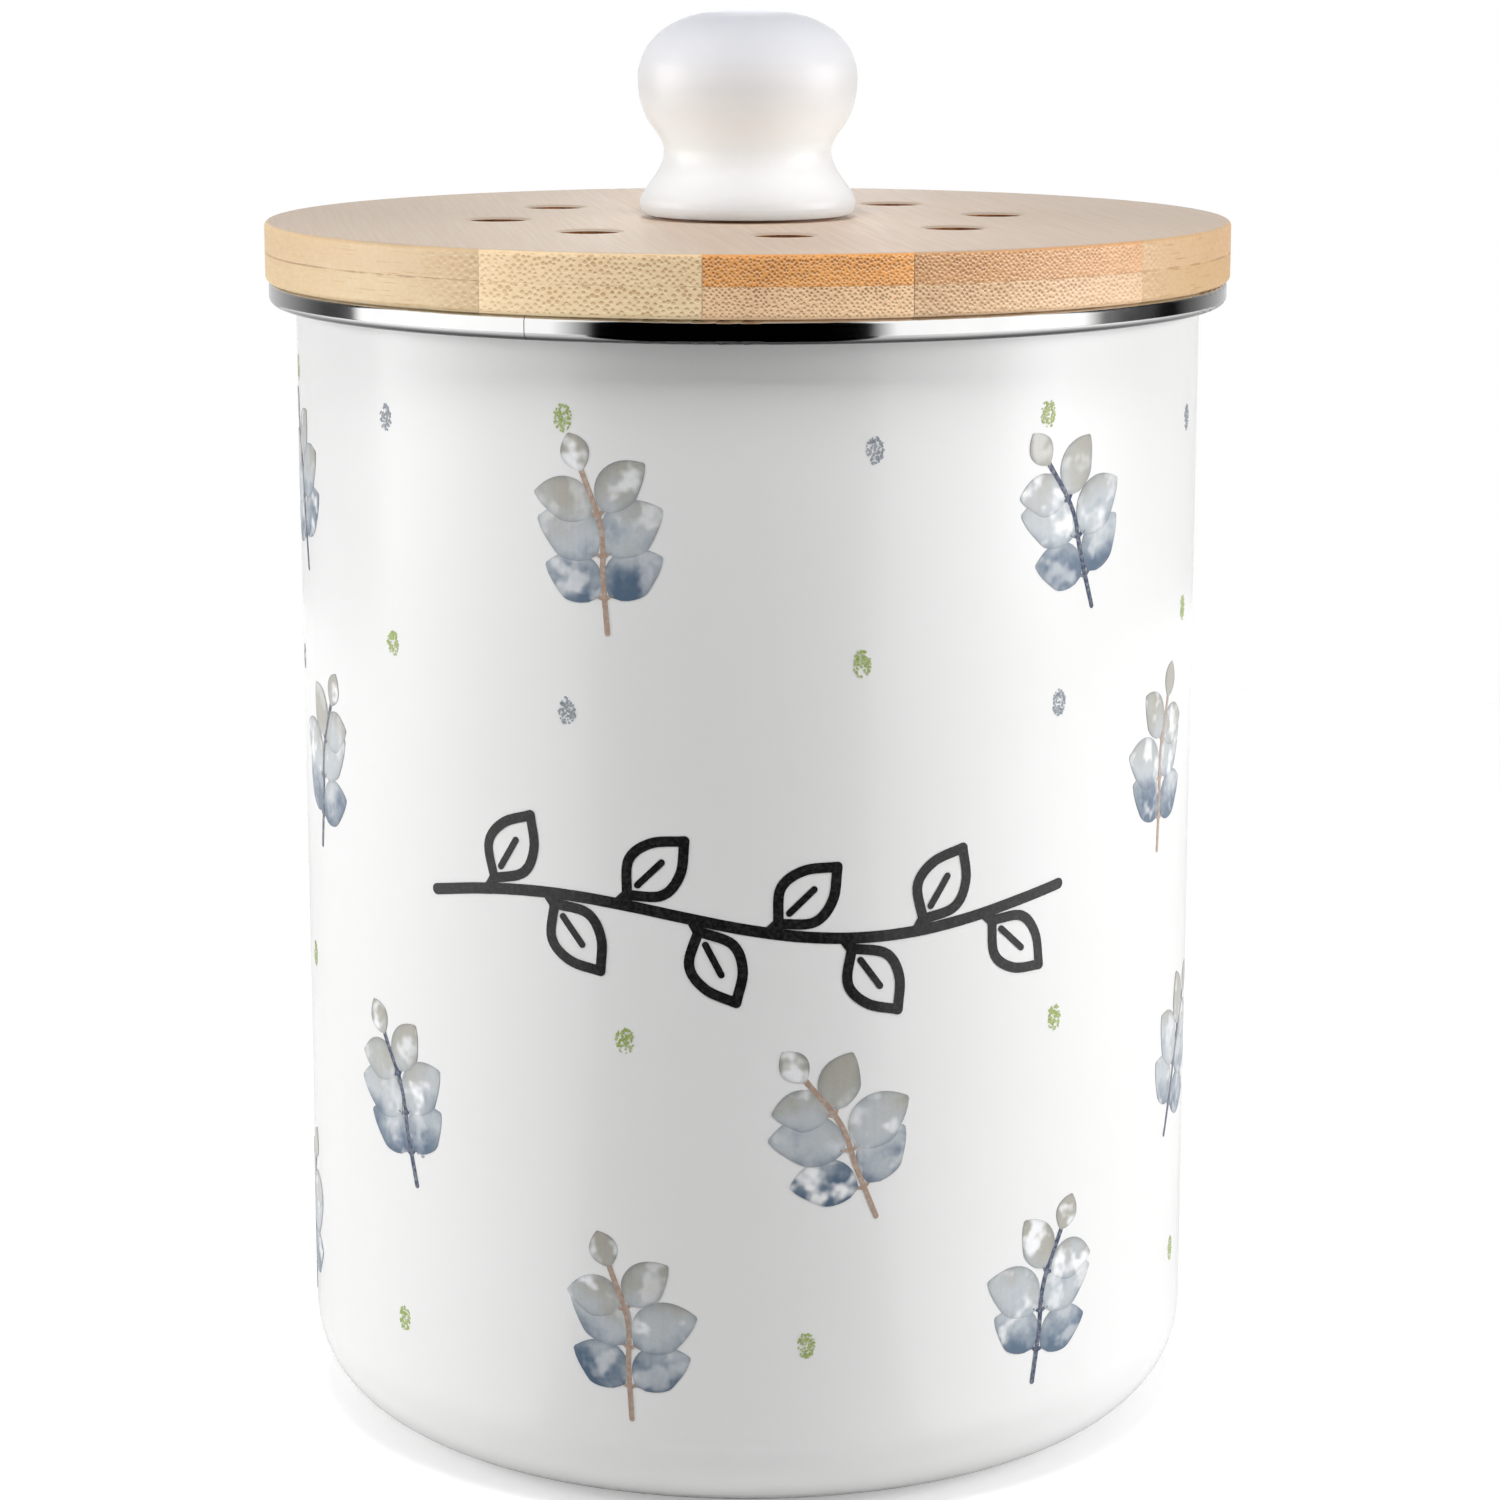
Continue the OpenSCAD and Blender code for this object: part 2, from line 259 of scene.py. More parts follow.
def bamboo(name, ground, bundle, pitch, seed, joints=(), ply=None, fade=0.0):
    """Bamboo strip. One solid grain of long fibre bundles shows as dots on the end grain and lines
    along the rest. pitch is the distance between bundles in mm; joints are the strip's glued sides,
    measured across the grain; ply is the lowest and highest z of the strip, whose upper part grew
    nearer the bark and is darker; fade is how far its lower bundles pale to outlines."""
    s = Shader(name)
    at = s.place()
    x, y, height = s.split(at)
    turned = s.turn(at, -grain_turn)
    fibre = s.shift(turned, (13.7 * seed, 41.3 * seed, 7.9 * seed))
    wander = s.noise(s.stretch(fibre, (0.15, 0.02, 0.15)), 1.0, 2.0)
    u, _, w = s.split(fibre)
    section = s.join(s.plus(u, s.times(wander, 1.2)), s.plus(w, s.times(wander, 0.4)))

    def bundles(drop):
        """1 in a fibre bundle and 0 between; drop moves them all down, in mm."""
        staggered = s.turn(s.shift(section, (0, drop, 0)), math.radians(45))
        dots = s.cells(staggered, 1 / pitch, 0.6, "2D")
        size = s.fit(s.split(dots["Color"])[0], 0.0, 1.0, 0.35, 0.5, smooth=False)
        return s.minus(1.0, s.fit(s.math("DIVIDE", dots["Distance"], size), 0.5, 1.0))

    # Each bundle has a shaded upper edge and a lit lower one. Patches of the wood are deeper in colour.
    disc, lower = bundles(0.0), bundles(0.2 * pitch)
    shaded = s.minus(disc, lower, clamp=True)
    lit = s.minus(lower, disc, clamp=True)
    patchy = s.noise(s.stretch(fibre, (0.25, 0.01, 0.35)), 1.0, 1.0)
    deep = s.fit(patchy, 0.35, 0.65, 0.55, 1.0)
    if ply is not None:
        low, high = ply
        level = s.fit(s.plus(height, s.times(patchy, 1.4)), low + 0.9, high + 0.4, smooth=False)
        deep = s.times(deep, s.minus(1.0, s.times(s.minus(1.0, level), fade)))
    streak = s.noise(s.stretch(fibre, (1.6, 0.03, 1.6)), 1.0, 4.0, 0.6)
    broad = s.noise(s.stretch(fibre, (0.12, 0.006, 0.12)), 1.0, 2.0)

    shade = s.mix(s.fit(streak, 0.3, 0.75), ground, s.mix(0.2, ground, bundle))
    shade = s.mix(s.fit(broad, 0.3, 0.7, 0.0, 0.3), shade, s.mix(0.4, ground, bundle))
    shade = s.mix(s.times(deep, 0.12), shade, bundle)

    # Short dark lines show where the round edge cuts the bundles at a slant.
    facing = s.absolute(s.facing(along_grain))
    end_grain = s.fit(facing, 0.64, 0.8)
    flat = s.fit(s.facing((0, 0, 1)), 0.8, 0.98)
    round_edge = s.times(s.math("ARCTAN2", x, y), board_radius / MM)
    slivers = s.noise(s.join(s.times(round_edge, 0.13), s.times(height, 2.8), seed), 1.0, 1.0)
    cut = s.times(s.fit(facing, 0.45, 0.66, 0.18, 0.75), s.fit(facing, 0.78, 0.64))
    lines = s.times(s.fit(slivers, 0.6, 0.7), cut, s.minus(1.0, flat))

    strength = s.times(end_grain, s.fit(facing, 0.7, 1.0, 0.4, 0.9))
    dots = s.times(disc, strength, s.fit(deep, 0.2, 1.0, 0.12, 0.75))
    colour = s.mix(dots, shade, bundle)
    colour = s.mix(s.times(shaded, strength), colour, s.mix(0.3, bundle, srgb("6B4420")))
    colour = s.mix(s.times(lit, strength, 0.75), colour, srgb("FFF0D2"))
    colour = s.mix(lines, colour, bundle)
    # Painted sheen: upward faces are mixed towards a greyer tan, C2B09F, in place of the reflection off the
    # board's top.
    colour = s.mix(s.times(flat, 0.92), colour, srgb("C2B09F"))

    # The glued joints: fine lines between the strips, and a ragged broken one between the plies.
    groove = 0.0
    for joint in joints:
        gap = s.absolute(s.minus(s.split(turned)[0], joint))
        groove = s.larger(groove, s.times(s.fit(gap, 0.2, 0.03), s.fit(facing, 0.8, 0.96, 0.2, 1.0)))
    if ply is not None:
        ragged = s.times(s.noise(at, 0.9, 2.0), 0.22)
        gap = s.minus(s.absolute(s.minus(height, board_mid / MM)), ragged)
        line = s.times(s.fit(gap, 0.06, -0.04), s.fit(s.noise(at, 0.25, 2.0), 0.35, 0.55))
        groove = s.larger(groove, s.times(line, s.fit(facing, 0.6, 0.85, 1.0, 0.35)))
    colour = s.mix(s.times(groove, s.fit(flat, 0.0, 1.0, 0.4, 0.04)), colour, srgb("9A6B3C"))

    relief = s.minus(s.times(streak, 0.15), s.times(disc, s.times(strength, 0.3)))
    relief = s.minus(relief, s.times(groove, s.minus(1.0, flat)))
    s.set(Base_Color=colour, Roughness=s.fit(streak, 0.3, 0.7, 0.42, 0.55), Specular_IOR_Level=0.4,
          Normal=s.bump(relief, 0.12 * MM))
    return s.material


def shaded_vent_bamboo():
    """Wall of a drilled vent: painted darker than the board's faces, as shade inside the hole, with its
    bundles torn open.
    """
    s = Shader("drilled_bamboo")
    at = s.place()
    rings = s.noise(s.stretch(at, (0.4, 0.4, 3.0)), 1.0, 4.0, 0.7)
    pits = s.cells(at, 1.1, 0.9)["Distance"]
    # Painted shade: the whole wall of the hole is coloured dark brown.
    colour = s.mix(s.fit(rings, 0.3, 0.7), srgb("6E3C18"), srgb("A96C38"))
    colour = s.mix(s.fit(pits, 0.45, 0.15, 0.0, 0.6), colour, srgb("5B2E12"))
    s.set(Base_Color=colour, Roughness=0.7, Normal=s.bump(s.minus(rings, pits), 0.2 * MM))
    return s.material


def porcelain():
    """Glazed porcelain, translucent under its glaze, with painted shade: its colour goes from near white at
    the foot to a cool grey towards the crown.
    """
    s = Shader("porcelain")
    at = s.place()
    low, high = (corner[2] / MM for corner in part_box("knob"))
    rise = s.math("DIVIDE", s.minus(s.split(at)[2], low), high - low)
    # Painted shade: the colour darkens and cools with height, brightest at the foot.
    painted_shade_glaze = s.mix(s.fit(rise, 0.2, 0.62, smooth=False), srgb("FDFDFB"), srgb("C7C7C8"))
    painted_shade_glaze = s.mix(s.fit(rise, 0.62, 1.0, smooth=False), painted_shade_glaze, srgb("B7B9C1"))
    s.set(Base_Color=painted_shade_glaze, Roughness=0.3, Specular_IOR_Level=0.15, Coat_Weight=0.1, Coat_Roughness=0.06,
          Subsurface_Weight=1.0, Subsurface_Scale=30 * MM, Subsurface_Radius=(1.0, 0.95, 0.9),
          Normal=s.bump(s.noise(at, 0.18, 2.0), 0.012 * MM))
    return s.material


def silicone(name, dark, light):
    """Silicone rubber with a soft sheen."""
    s = Shader(name)
    grain = s.noise(s.place(), 1.5, 3.0)
    s.set(Base_Color=s.mix(grain, dark, light), Roughness=s.fit(grain, 0.3, 0.7, 0.42, 0.55),
          Subsurface_Weight=0.2, Subsurface_Scale=2 * MM, Subsurface_Radius=(1.0, 1.0, 1.0),
          Normal=s.bump(grain, 0.02 * MM))
    return s.material


def turned_metal(name, colour, worn, rough):
    """Turned metal: fine rings round the axis, and slight stains of the worn colour."""
    s = Shader(name)
    at = s.place()
    x, y, z = s.split(at)
    out = s.math("SQRT", s.plus(s.times(x, x), s.times(y, y)))
    rings = s.noise(s.join(x=s.times(out, 8.0), z=s.times(z, 8.0)), 1.0, 2.0)
    stain = s.noise(at, 0.5, 4.0)
    s.set(Base_Color=s.mix(s.fit(stain, 0.4, 0.75), colour, worn), Metallic=1.0,
          Roughness=s.fit(stain, 0.3, 0.7, rough, rough + 0.12), Normal=s.bump(rings, 0.01 * MM))
    return s.material


def moulded_plastic():
    """Dark moulded plastic with a fine spark-eroded texture."""
    s = Shader("moulded_plastic")
    at = s.place()
    grain = s.noise(at, 2.5, 4.0, 0.65)
    s.set(Base_Color=s.mix(s.noise(at, 0.05, 2.0), srgb("26272A"), srgb("2E2F32")),
          Roughness=s.fit(grain, 0.3, 0.7, 0.42, 0.58), Normal=s.bump(grain, 0.03 * MM))
    return s.material


def charcoal():
    """Felt soaked with activated charcoal: matte black, with matted fibres."""
    s = Shader("charcoal_felt")
    at = s.place()
    fibres = s.noise(s.stretch(at, (1.0, 1.0, 0.4)), 1.6, 6.0, 0.75)
    grit = s.cells(at, 1.8)["Distance"]
    s.set(Base_Color=s.mix(s.fit(fibres, 0.35, 0.7), srgb("121213"), srgb("2C2C2E")),
          Roughness=0.95, Normal=s.bump(s.plus(fibres, s.times(grit, 0.5)), 0.5 * MM))
    return s.material


# ---------------------------------------------------------------- finish of the CAD pieces

SAME_FACE = math.cos(math.radians(28))  # faces that meet at less than this turn are one round face
SLIVER = 0.015 * MM * MM                # a smaller face is a sliver of a rounding; its own normal says
SLIVER_FACE = 0.3                       # little, so this takes the place of SAME_FACE for it
NARROW = 0.98                           # the least cosine between a narrow face's middle and its corners
SIDEWAYS = 0.03                         # the most that a turned face's normal points round the axis
LEVEL = 0.01                            # the most that a level face's normal points outwards
FLAT = 0.999                            # the least that a flat face's normal points along its own axis
ON_RIM, ON_RIM_FLAT = 0.03, 0.7         # the least cosine between the rim's normal and its round, flat faces


def spot(*lengths):
    """Lengths rounded to 0.01 mm, to find what lies at one place."""
    return tuple(round(length / MM, 2) for length in lengths)


def turned_way(face, corners):
    """The normal of a face that was turned about Z, as (outwards, up), or None."""
    n = face.normal
    turn = math.atan2(face.center.y, face.center.x)
    away = Vector((math.cos(turn), math.sin(turn)))
    out = n.x * away.x + n.y * away.y
    narrow = all(co.xy.dot(away) >= NARROW * co.xy.length for co in corners)
    aside = abs(n.y * away.x - n.x * away.y) > SIDEWAYS or not (narrow or abs(out) < LEVEL)
    return None if aside and face.area > SLIVER else Vector((out, n.z)).normalized()


class Rim:
    """The outer edge of a turned piece: an upright wall, with a rounding below it and one above."""

    def __init__(self, mesh):
        heights = [v.co.z for v in mesh.vertices]
        self.edge = max(radius(v.co) for v in mesh.vertices)
        wall = [v.co.z for v in mesh.vertices if radius(v.co) > self.edge - 0.005 * MM]
        self.foot, self.head = min(wall), max(wall)
        self.low_r, self.high_r = self.foot - min(heights), max(heights) - self.head

    def normal(self, co, face):
        """The edge's normal at a corner of the face, or None if the face isn't part of the edge."""
        up = min(co.z - self.foot, 0) + max(co.z - self.head, 0)
        out = max(radius(co) - self.edge + (self.low_r if up < 0 else self.high_r), 0) if up else 1
        way = (Vector((co.x, co.y, 0)).normalized() * out + Vector((0, 0, up))).normalized()
        flat = max(abs(face.normal.z), abs(face.normal.dot(across_grain))) > FLAT
        return way if way.dot(face.normal) > (ON_RIM_FLAT if flat else ON_RIM) else None


def smooth(obj, rim=None):
    """Shading normals of the turned and flat faces, from the profile that they were turned by. All points
    at one radius and height share the faces that meet there, whatever the mesh does round the axis."""
    mesh = obj.data
    turned, own, faces = {}, {}, []
    for face in mesh.polygons:
        corners = [mesh.vertices[i].co for i in face.vertices]
        way = turned_way(face, corners)
        faces.append((face, corners, way))
        if way is None:
            for co in corners:
                own.setdefault(spot(*co), []).append(face.normal * face.area)
        elif face.area > SLIVER:
            edges = zip(corners, corners[1:] + corners[:1])
            span = max(math.hypot(radius(a) - radius(b), a.z - b.z) for a, b in edges)
            key = (round(way.x, 2), round(way.y, 2))
            for co in corners:
                meet = turned.setdefault(spot(radius(co), co.z), {})
                if key not in meet or span > meet[key].length ** 0.5:
                    meet[key] = way * span ** 2
    normals = []
    for face, corners, way in faces:
        face.use_smooth = True
        alike = SAME_FACE if face.area > SLIVER else SLIVER_FACE
        for co in corners:
            edge = rim and rim.normal(co, face)
            if edge:
                normals.append(edge)
            elif way is None:
                parts = (n for n in own[spot(*co)] if n.normalized().dot(face.normal) > SAME_FACE)
                normals.append(sum(parts, Vector()))
            else:
                parts = turned.get(spot(radius(co), co.z), {}).values()
                mean = sum((n for n in parts if n.normalized().dot(way) > alike), Vector((0, 0))) or way
                out = co.xy.normalized() * mean.x
                normals.append(Vector((out.x, out.y, mean.y)))
    mesh.normals_split_custom_set([n.normalized() for n in normals])


def dress(name, *materials, rimmed=False):
    """Gives a CAD piece its materials and its shading normals; a rimmed piece has a rounded outer edge."""
    mesh = nodes[name].data
    mesh.materials.clear()
    for material in materials:
        mesh.materials.append(material)
    smooth(nodes[name], Rim(mesh) if rimmed else None)


def line_vents(strip, slot_index):
    """Gives the walls of the holes through a strip the material in that slot: its small upright faces away
    from the rim, apart from the pieces of its glued sides, which face straight across the grain."""
    inside = 0.9 * max(radius(v.co) for v in strip.data.vertices)
    smallest_side, largest_wall = 2 * MM * MM, 20 * MM * MM
    for face in strip.data.polygons:
        upright = abs(face.normal.z) < 0.3
        if upright and radius(face.center) < inside and face.area < largest_wall:
            side = abs(face.normal.dot(across_grain)) > 0.9999 and face.area > smallest_side
            face.material_index = 0 if side else slot_index


# The strips from left to right in the photo: ground, fibre bundles, pitch of the bundles in mm, and how far
# the lower bundles fade.
TONES = {
    "top": (("D4BC97", "C0935E", 1.0, 0.5),
            ("FBE1B8", "C69A64", 0.85, 0.6),
            ("FCB468", "9C5A28", 0.62, 0.3),
            ("D8A676", "945E2E", 0.66, 0.45),
            ("CBAB84", "A8763E", 0.85, 0.6)),
    "bottom": (("D6BF98", "C0935E", 1.05, 0.7),
               ("FDE5BB", "C69A64", 0.95, 0.6),
               ("FFD8AC", "96602E", 0.68, 0.85),
               ("E2BF97", "946234", 0.74, 0.75),
               ("C8A97F", "A8763E", 1.0, 0.7)),
}


def dress_board():
    """Each strip of the board has its own tone and its own spacing of fibre bundles."""
    drilled = shaded_vent_bamboo()
    for ply, strips in TONES.items():
        for i, (ground, bundle, pitch, fade) in enumerate(strips, start=1):
            name = f"{ply}_strip_{i}"
            spread = [v.co.dot(across_grain) / MM for v in nodes[name].data.vertices]
            sides = ((min(spread), i > 1), (max(spread), i < STRIPS))
            joints = [side for side, glued in sides if glued]
            seed = i + (10 if ply == "top" else 0)
            reach = [corner[2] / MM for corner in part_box(name)]
            face = bamboo(f"bamboo_{ply}_{i}", srgb(ground), srgb(bundle), pitch, seed, joints, reach, fade)
            dress(name, face, drilled, rimmed=True)
            line_vents(nodes[name], 1)


zinc = turned_metal("zinc", srgb("C9CACB"), srgb("9EA0A2"), 0.28)
dress_board()
dress("plug_ring", bamboo("bamboo_plug", srgb("E8CDA0"), srgb("AD7A40"), 1.1, 31))
dress("can_shell", enamel())
dress("trim_ring", stainless(), rimmed=True)
dress("knob", porcelain())
dress("knob_insert", turned_metal("brass", srgb("D8B56A"), srgb("A9823F"), 0.25))
dress("knob_bolt", zinc)
dress("knob_washer", zinc)
for screw in (name for name in nodes if name.startswith("plug_screw_")):
    dress(screw, zinc)
dress("lid_gasket", silicone("silicone", srgb("DADAD8"), srgb("E6E6E4")))
# Painted shade: the cushion's dark brown stands in for the shade under the knob's foot.
dress("knob_cushion", silicone("shade_brown_silicone", srgb("7C4A26"), srgb("8F5A32")))
dress("filter_cup", moulded_plastic())


def felt_pad():
    """The soft pad in the filter cup: a thick die-cut disc of felt, with rounded rims, a waist where its
    two layers meet, and faces and an edge that swell and sink a little."""
    low, high = (Vector(corner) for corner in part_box("filter_pad"))
    thick = high.z - low.z
    rim = 1.6 * MM                 # radius of the rounded rims
    most_sink = 0.45 * MM          # of the faces and the edge
    broad, fine = 11 * MM, 3 * MM  # sizes of the swellings
    face_rings = (0.08, 0.16, 0.24, 0.32, 0.4, 0.48, 0.56, 0.64, 0.72, 0.8, 0.88, 0.94)

    # (radius, height over the foot) of the rings from the middle of the foot to the waist, then mirrored.
    rings = [(part * high.x, 0.0) for part in face_rings]
    for step in range(6):
        a = math.radians(18 * step)
        rings.append((high.x - rim + rim * math.sin(a), rim - rim * math.cos(a)))
    rings += [(high.x - 0.15 * MM, 0.38 * thick), (high.x - 0.6 * MM, 0.47 * thick)]
    rings += [(out, thick - up) for out, up in reversed(rings)]

    def settle(out, up, turn):
        """Moves a point of the pad inwards by a soft, uneven amount."""
        at = Vector((out * math.cos(turn), out * math.sin(turn), low.z + up))
        swell = 0.5 + 0.5 * noise.noise(at / broad) + 0.25 * noise.noise(at / fine)
        sink = most_sink * min(max(swell, 0.0), 1.0)
        at.z += sink * (1 - 2 * up / thick) * 0.6
        at.x -= sink * math.cos(turn) * out / high.x
        at.y -= sink * math.sin(turn) * out / high.x
        return at

    felt = bmesh.new()
    count = 144  # points round each ring
    turns = [2 * math.pi * k / count for k in range(count)]
    loops = [[felt.verts.new(settle(out, up, turn)) for turn in turns] for out, up in rings]
    for inner, outer in zip(loops, loops[1:]):
        for k in range(count):
            m = (k + 1) % count
            felt.faces.new([inner[k], outer[k], outer[m], inner[m]])
    for loop, up in ((loops[0], 0.0), (loops[-1], thick)):
        centre = felt.verts.new(settle(0.0, up, 0.0))
        for k in range(count):
            felt.faces.new([centre, loop[k], loop[(k + 1) % count]])
    bmesh.ops.recalc_face_normals(felt, faces=felt.faces)
    for face in felt.faces:
        face.smooth = True
    mesh = bpy.data.meshes.new("filter_felt")
    felt.to_mesh(mesh)
    felt.free()
    mesh.materials.append(charcoal())
    pad = bpy.data.objects.new("filter_felt", mesh)
    bpy.context.scene.collection.objects.link(pad)
    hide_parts("filter_pad")
    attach(pad, "filter_cup")


felt_pad()


# ---------------------------------------------------------------- printed decoration on the can

PRINT_RISE = 0.05 * MM    # ink and its glaze stand this far out of the enamel
PRINT_ROOT = 0.15 * MM    # and reach this far into it
PRINT_LAYER = 0.001 * MM  # each patch of a motif lies this far over the one before
PRINT_ROUGHNESS = 0.22    # of the glaze over all inks


def on_can(s, z, rise):
    """A point on the can: s is the arc in mm from the front's middle towards +X, z the height in mm."""
    turn = s * MM / can_radius
    out = can_radius + rise
    return Vector((out * math.sin(turn), -out * math.cos(turn), z * MM))


def bend(points, count):
    """A smooth curve through the points, as count + 1 points."""
    ends = [points[0] * 2 - points[1], *points, points[-1] * 2 - points[-2]]
    curve = []
    for k in range(count + 1):
        place = k / count * (len(points) - 1)
        i = min(int(place), len(points) - 2)
        t = place - i
        a, b, c, d = ends[i:i + 4]
        curve.append(0.5 * (2 * b + (c - a) * t + (2 * a - 5 * b + 4 * c - d) * t * t
                            + (3 * b - a - 3 * c + d) * t ** 3))
    return curve


class Print:
    """One printed motif: thin closed patches of ink that lie on the can. The ink's material reads from each
    point its place along and across its patch, the patch's tint, and its rise in the motif."""

    def __init__(self):
        self.lift = PRINT_RISE
        self.mesh = bmesh.new()
        floats = self.mesh.verts.layers.float
        self.layers = {name: floats.new(name) for name in ("along", "across", "tint", "rise")}

    def next_lift(self):
        """Patches that cross lie one over another, as layers of ink do."""
        self.lift += PRINT_LAYER
        return self.lift

    def vert(self, point, lift, values):
        vert = self.mesh.verts.new(on_can(point.x, point.y, lift))
        for name, value in values.items():
            vert[self.layers[name]] = value
        return vert

    def ribbon(self, spine, half_widths, slot_index=0, cells=2, tint=0.5, rise=lambda z: 0.5):
        """A patch along a spine of (arc, height) points in mm, as wide on each side as half_widths says.
        cells is its count of faces from side to side."""
        sheets = []
        for lift in (self.next_lift(), -PRINT_ROOT):
            rows = []
            for k, (point, half) in enumerate(zip(spine, half_widths)):
                ahead = (spine[min(k + 1, len(spine) - 1)] - spine[max(k - 1, 0)]).normalized()
                side = Vector((-ahead.y, ahead.x))
                rows.append([])
                for j in range(cells + 1):
                    off = 2 * j / cells - 1
                    at = point + side * (off * half)
                    rows[-1].append(self.vert(at, lift, {"along": k / (len(spine) - 1), "across": off,
                                                         "tint": tint, "rise": rise(at.y)}))
            sheets.append(rows)
        front, back = sheets
        last = len(spine) - 1
        for k in range(last):
            for j in range(cells):
                self.face([front[k][j], front[k][j + 1], front[k + 1][j + 1], front[k + 1][j]], slot_index)
                self.face([back[k][j], back[k + 1][j], back[k + 1][j + 1], back[k][j + 1]], slot_index)
        rim = [(k, 0) for k in range(last)] + [(last, j) for j in range(cells)]
        rim += [(last - k, cells) for k in range(last)] + [(0, cells - j) for j in range(cells)]
        for (k, j), (m, n) in zip(rim, rim[1:] + rim[:1]):
            self.face([front[k][j], front[m][n], back[m][n], back[k][j]], slot_index)

    def face(self, verts, slot_index=0):
        made = self.mesh.faces.new(verts)
        made.material_index = slot_index

    def line(self, points, half, count, slot_index=0):
        """A drawn line with round ends, along a smooth curve of count steps; half is half its width."""
        spine = bend(points, count)
        ahead = (spine[1] - spine[0]).normalized()
        behind = (spine[-1] - spine[-2]).normalized()
        caps = [math.radians(a) for a in (6, 25, 45, 67)]
        first = [spine[0] - ahead * (half * math.cos(a)) for a in caps]
        final = [spine[-1] + behind * (half * math.cos(a)) for a in reversed(caps)]
        cap_widths = [half * math.sin(a) for a in caps]
        widths = cap_widths + [half] * len(spine) + cap_widths[::-1]
        self.ribbon(first + spine + final, widths, slot_index)

    def speck(self, centre, size):
        """A small hexagon."""
        sides = 6
        rings = []
        for lift in (PRINT_RISE, -PRINT_ROOT):
            rings.append([])
            for k in range(sides):
                a = 2 * math.pi * k / sides
                at = centre + Vector((math.cos(a), math.sin(a))) * size
                rings[-1].append(self.vert(at, lift, {"tint": 0.5}))
        front, back = rings
        self.face(front)
        self.face(back[::-1])
        for k in range(sides):
            m = (k + 1) % sides
            self.face([front[k], back[k], back[m], front[m]])

    def finish(self, name, *materials):
        """Makes the motif a piece that moves with the can."""
        bmesh.ops.recalc_face_normals(self.mesh, faces=self.mesh.faces)
        mesh = bpy.data.meshes.new(name)
        self.mesh.to_mesh(mesh)
        self.mesh.free()
        for material in materials:
            mesh.materials.append(material)
        piece = bpy.data.objects.new(name, mesh)
        bpy.context.scene.collection.objects.link(piece)
        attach(piece, "can")
        return piece


def ink(name, colour, speckle):
    """Flat ceramic ink under the glaze, mottled with white by up to speckle."""
    s = Shader(name)
    mottle = s.noise(s.place(), 1.4, 3.0)
    s.set(Base_Color=s.mix(s.fit(mottle, 0.35, 0.75, 0.0, speckle), colour, srgb("F0F0F0")),
          Roughness=PRINT_ROUGHNESS)
    return s.material


def leaf_wash():
    """Watercolour of the leaves: warm grey above, slate blue below, a pale bloom, a dark dried edge and
    the fine dotted screen of a printed transfer."""
    s = Shader("leaf_wash")
    at = s.place()
    drift = s.times(s.minus(s.noise(at, 0.16, 3.0), 0.5), 0.9)
    rise = s.plus(s.attribute("rise"), drift)
    wash = s.mix(s.fit(rise, 0.15, 0.6), srgb("55697F"), srgb("B9BFC4"))
    wash = s.mix(s.fit(rise, 0.5, 1.0), wash, srgb("A7A49A"))
    tint = s.fit(s.attribute("tint"), 0.1, 0.9, 0.35, 1.0)
    bloom = s.times(s.fit(s.noise(at, 0.2, 2.0), 0.5, 0.66), tint)
    wash = s.mix(bloom, wash, srgb("EDEEEF"))
    edge = s.math("POWER", s.absolute(s.attribute("across")), 5.0)
    tips = s.math("POWER", s.absolute(s.minus(s.times(s.attribute("along"), 2.0), 1.0)), 9.0)
    wash = s.mix(s.times(s.larger(edge, tips), 0.45), wash, srgb("5A6470"))
    screen = s.cells(at, 2.6, 0.35)["Distance"]
    wash = s.mix(s.fit(screen, 0.34, 0.18, 0.0, 0.16), wash, srgb("40505F"))
    s.set(Base_Color=wash, Roughness=PRINT_ROUGHNESS)
    return s.material


leaf_ink = leaf_wash()
navy_ink = ink("navy_ink", srgb("2B3A55"), 0.2)
tan_ink = ink("tan_ink", srgb("A58D7C"), 0.2)
black_ink = ink("black_ink", srgb("161616"), 0.02)
green_ink = ink("green_ink", srgb("9DB05A"), 0.25)
grey_ink = ink("grey_ink", srgb("8D949E"), 0.25)


def place_in(origin, turn, flip):
    """A function from a motif's own (x, y) in mm to the can's (arc, height)."""
    spin = Matrix.Rotation(turn, 2)

    def place(x, y):
        return origin + spin @ Vector((x * flip, y))

    return place


TWIG_SIZE = 27  # height of a twig in mm


